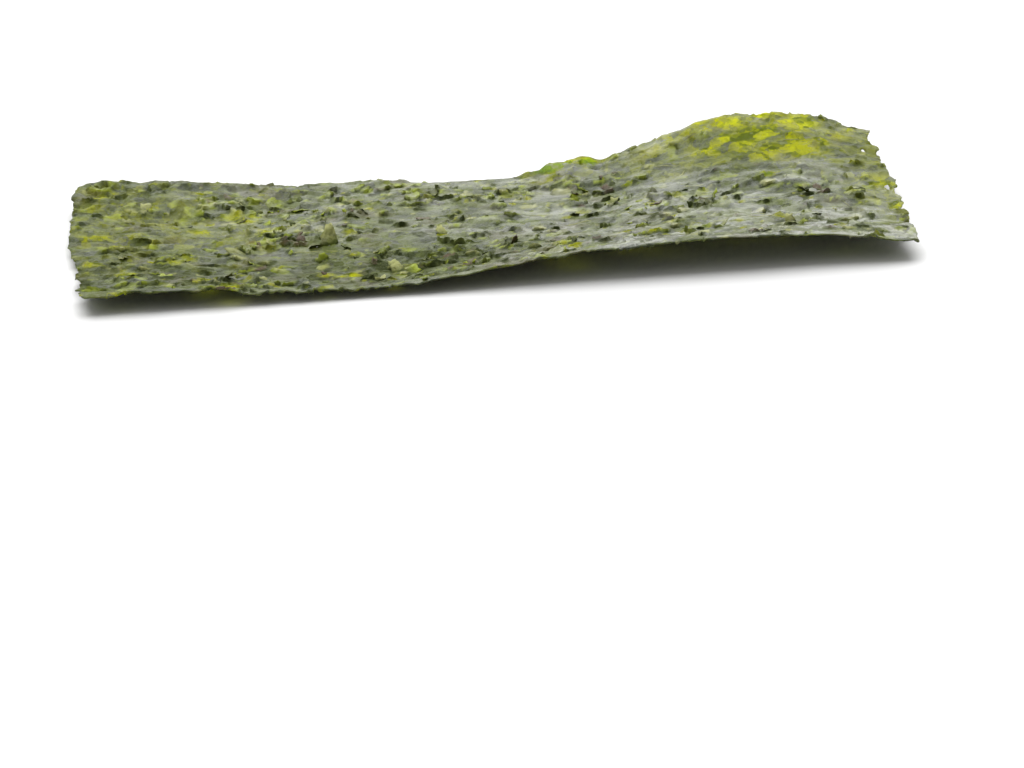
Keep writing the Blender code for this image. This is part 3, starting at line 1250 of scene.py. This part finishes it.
def add_scrap(bm, layers, rng, scrap):
    """One crumpled scrap with its root on the film."""
    made = bmesh.ops.create_grid(bm, x_segments=SCRAP_CELLS, y_segments=SCRAP_CELLS, size=1)
    foot, up = film_at(scrap.x, scrap.y, scrap.side)
    ahead = Vector((math.cos(scrap.heading), math.sin(scrap.heading), 0))
    ahead = (ahead - up * ahead.dot(up)).normalized()
    aside = up.cross(ahead)
    skew = rng.uniform(-SKEW, SKEW)
    cup = rng.uniform(-CUP, CUP)
    corners = rng.uniform(*CORNERS)
    torn = SMALL_TEAR if scrap.length < LARGE_SCRAP else LARGE_TEAR
    strength = rng.uniform(*SCRAP_STRENGTH)
    key = rng.uniform(*SCRAP_KEYS)
    for vert in made["verts"]:
        u, v = rounded(vert.co.x, vert.co.y, corners)
        rim = max(abs(vert.co.x), abs(vert.co.y))
        grown = 1 + torn * tears(u, v, 1.9, key) * rim
        u, v = u * grown, v * grown
        reach = (u + 1) / 2
        out = reach * scrap.length
        sideways = (v * (1 - scrap.pinch * reach) + skew * u) * scrap.breadth / 2
        wrinkle = CRUMPLE * tears(u, v, 2.3, key + 9)
        rise = math.sin(scrap.lift) * out + scrap.curl * out * reach + cup * scrap.breadth * v * v * 0.5
        step = ahead * out * math.cos(scrap.lift) + aside * sideways + up * (rise + wrinkle - SINK)
        vert.co = foot + step * MM
        vert.co.z = within(vert.co.z, SCRAP_FLOOR, SCRAP_CEILING)
        # A scrap takes its colour towards its tip and is darkened at its root: partly its own colour, partly
        # painted light on the raised tip and painted shade at the root
        tip = within(reach)
        vert[layers["dark"]] = (1 - tip) * ROOT_SHADE
        if scrap.kind in layers:
            vert[layers[scrap.kind]] = max(vert[layers[scrap.kind]], strength * tip**SCRAP_COLOUR_AND_LIGHT_CURVE)


# %% The noted shards
# Along the film and across it in mm, length, breadth, lift and heading in degrees, pinch of the tip, kind
NOTED_SHARDS = (
    (-18.1, -2.1, 2.5, 2.8, 46, 98, 0.75, "straw"),
    (-23.6, -0.6, 1.0, 1.2, 40, 70, 0.1, "brown"),
    (-22.5, -0.9, 1.2, 1.2, 25, 140, 0.3, "brown"),
    (-21.6, -0.4, 1.0, 1.2, 50, 100, 0.1, "brown"),
    (-22.3, 0.8, 0.9, 0.9, 35, 20, 0.2, "brown"),
    (-24.6, -0.2, 1.2, 1.3, 30, 180, 0.2, "straw"),
    (-20.8, -1.6, 1.2, 1.5, 20, -60, 0.2, "dark"),
    (-28.8, -4.2, 2.0, 2.4, 14, 100, 0.1, "straw"),
    (-38.4, -11.3, 1.6, 1.7, 20, 60, 0.2, "straw"),
    (-41.3, 9.6, 1.4, 1.4, 24, 110, 0.2, "straw"),
    (-39.6, 13.4, 1.4, 1.5, 20, 80, 0.1, "straw"),
    (-26.5, -1.0, 0.7, 0.7, 40, 90, 0.2, "brown"),
    (-13.6, -11.0, 0.8, 0.7, 48, 110, 0.3, "brown"),
    (-10.9, -13.4, 1.4, 1.6, 30, 120, 0.1, "straw"),
    (-10.0, -14.2, 1.3, 1.5, 20, 30, 0.2, "pale"),
    (-11.6, -12.4, 1.3, 1.5, 40, 80, 0.2, "straw"),
    (-14.4, -17.0, 1.5, 1.7, 25, 90, 0.1, "dark"),
    (-13.4, -17.8, 1.1, 1.2, 35, 45, 0.2, "straw"),
    (-5.6, -0.4, 1.3, 1.2, 50, 85, 0.2, "straw"),
    (-19.2, -13.9, 0.7, 0.7, 40, 130, 0.3, "brown"),
    (2.7, -6.9, 0.8, 0.9, 38, 100, 0.3, "brown"),
    (11.3, -13.9, 0.9, 1.0, 32, 70, 0.2, "brown"),
    (14.8, 11.2, 1.0, 1.1, 35, 100, 0.2, "brown"),
    (20.8, -9.2, 1.5, 1.9, 14, 90, 0.1, "straw"),
    (24.4, -12.2, 1.2, 1.4, 30, 100, 0.2, "dark"),
    (25.6, -12.5, 1.2, 1.2, 40, 70, 0.2, "straw"),
    (28.7, -19.4, 0.9, 1.1, 25, 100, 0.2, "brown"),
    (29.4, -19.8, 0.9, 1.2, 20, 60, 0.2, "straw"),
    (33.3, -14.5, 1.1, 1.3, 30, 95, 0.2, "straw"),
    (34.0, -15.2, 1.0, 1.2, 30, 40, 0.2, "pale"),
    (38.4, -0.8, 1.4, 1.2, 42, 110, 0.2, "brown"),
    (37.1, -1.5, 1.3, 1.6, 18, 200, 0.2, "dark"),
    (36.3, 0.9, 1.1, 1.2, 30, 60, 0.2, "straw"),
    (42.4, -2.7, 1.5, 1.8, 16, 80, 0.1, "dark"),
)
SHARD_CURL = 0.1


def noted_scraps():
    """The shards that are listed one by one, all on the upper side of the film."""
    return [
        Scrap(
            x, y, length, breadth,
            lift=math.radians(lift), curl=SHARD_CURL, heading=math.radians(heading), pinch=pinch,
            side=1, kind=kind,
        )
        for x, y, length, breadth, lift, heading, pinch, kind in NOTED_SHARDS
    ]


# %% Scattered scraps
SCRAP_COUNT = 240
SCRAP_SEED = 11
BARE_SCRAPS = 0.1
SHORTEST_SCRAP = 0.4
LENGTH_SPREAD = 0.8
# A power that makes short scraps more common than long ones
SHORT_BIAS = 1.8
SCRAP_BREADTH = (0.8, 1.7)
SCRAP_LIFT = (0.05, 0.45)
SCRAP_CURL = (-0.05, 0.15)
SCRAP_HEADING = (-math.pi, math.pi)
SCRAP_PINCH = (0.0, 0.3)
HANGING_SHARE = 0.2
# Where scraps may lie, in mm from the middle of the sheet, and how crinkled the film has to be there
FRONT_LIMIT = -21
BACK_LIMIT = 14
END_LIMIT = 44
CRINKLED_ENOUGH = 0.9


def scattered_scraps(rng, places):
    """Small loose scraps of every kind at the given places, where the film isn't smooth."""
    scraps = []
    for x, y in places:
        length = SHORTEST_SCRAP + LENGTH_SPREAD * rng.random() ** SHORT_BIAS
        scrap = Scrap(
            x, y, length, length * rng.uniform(*SCRAP_BREADTH),
            lift=rng.uniform(*SCRAP_LIFT), curl=rng.uniform(*SCRAP_CURL),
            heading=rng.uniform(*SCRAP_HEADING), pinch=rng.uniform(*SCRAP_PINCH),
            side=-1 if rng.random() < HANGING_SHARE else 1, kind=rng.choice(CRUMBS.kinds),
        )
        inside = FRONT_LIMIT < y < BACK_LIMIT and abs(x) < END_LIMIT
        if inside and crinkled(x, y) > CRINKLED_ENOUGH:
            scraps.append(scrap)
    return scraps


def loose_piece(bm, name, wall):
    """One riding piece with a wall, made from many small open meshes."""
    bmesh.ops.recalc_face_normals(bm, faces=bm.faces)
    piece = finish_mesh(bm, name, SEAWEED)
    add_wall(piece, wall)
    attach(piece, "root")
    print(f"{name}: {len(piece.data.polygons)} faces before its wall")


scrap_bm = bmesh.new()
scrap_layers = {kind: scrap_bm.verts.layers.float.new(kind) for kind in KINDS}
scrap_places, scrap_rng = draw_places(SCRAP_COUNT, SCRAP_SEED, BARE_SCRAPS)
for loose in noted_scraps() + scattered_scraps(scrap_rng, scrap_places):
    add_scrap(scrap_bm, scrap_layers, scrap_rng, loose)
loose_piece(scrap_bm, "loose_scraps", SCRAP_WALL)

# %% [markdown]
# Fibres
#
# Torn leaf leaves pale threads behind, a tenth of a millimetre wide, that dried flat on the film, most of
# them along it. Each is a narrow strip that follows the film's height. They could be drawn in the material,
# but a strip also catches the light along its rim.

# %% Fibres
FIBRE_COUNT = 45
FIBRE_SEED = 23
FIBRE_STEPS = 10
FIBRE_HEIGHT = 0.06
FIBRE_BEND = 0.8
FIBRE_TURN = 0.5
FIBRE_TAPER = 0.7
FIBRE_LENGTH = (1.2, 3.6)
FIBRE_BREADTH = (0.08, 0.16)
FIBRE_STRENGTH = (0.3, 0.9)
# Where fibres lie, in mm along the film and across it
FIBRES_ALONG = (-43, 43)
FIBRES_ACROSS = (-19, 17)


def add_fibre(bm, layer, rng):
    """One narrow strip, bent to an arc and laid on the film."""
    middle = Vector((rng.uniform(*FIBRES_ALONG), rng.uniform(*FIBRES_ACROSS)))
    turned = Matrix.Rotation(rng.gauss(0, FIBRE_TURN), 2)
    length = rng.uniform(*FIBRE_LENGTH)
    breadth = rng.uniform(*FIBRE_BREADTH)
    bend = rng.uniform(-FIBRE_BEND, FIBRE_BEND)
    strength = rng.uniform(*FIBRE_STRENGTH)
    made = bmesh.ops.create_grid(bm, x_segments=FIBRE_STEPS, y_segments=1, size=0.5)
    for vert in made["verts"]:
        share, side = vert.co.x, vert.co.y
        taper = 1 - FIBRE_TAPER * abs(2 * share) ** 3
        place = middle + turned @ Vector((share * length, bend * share**2 + side * breadth * taper))
        vert.co = film_at(place.x, place.y)[0] + Vector((0, 0, FIBRE_HEIGHT * MM))
        vert[layer] = strength


fibre_bm = bmesh.new()
fibre_layer = fibre_bm.verts.layers.float.new("straw")
fibre_rng = random.Random(FIBRE_SEED)
for _ in range(FIBRE_COUNT):
    add_fibre(fibre_bm, fibre_layer, fibre_rng)
loose_piece(fibre_bm, "fibres", SCRAP_WALL)
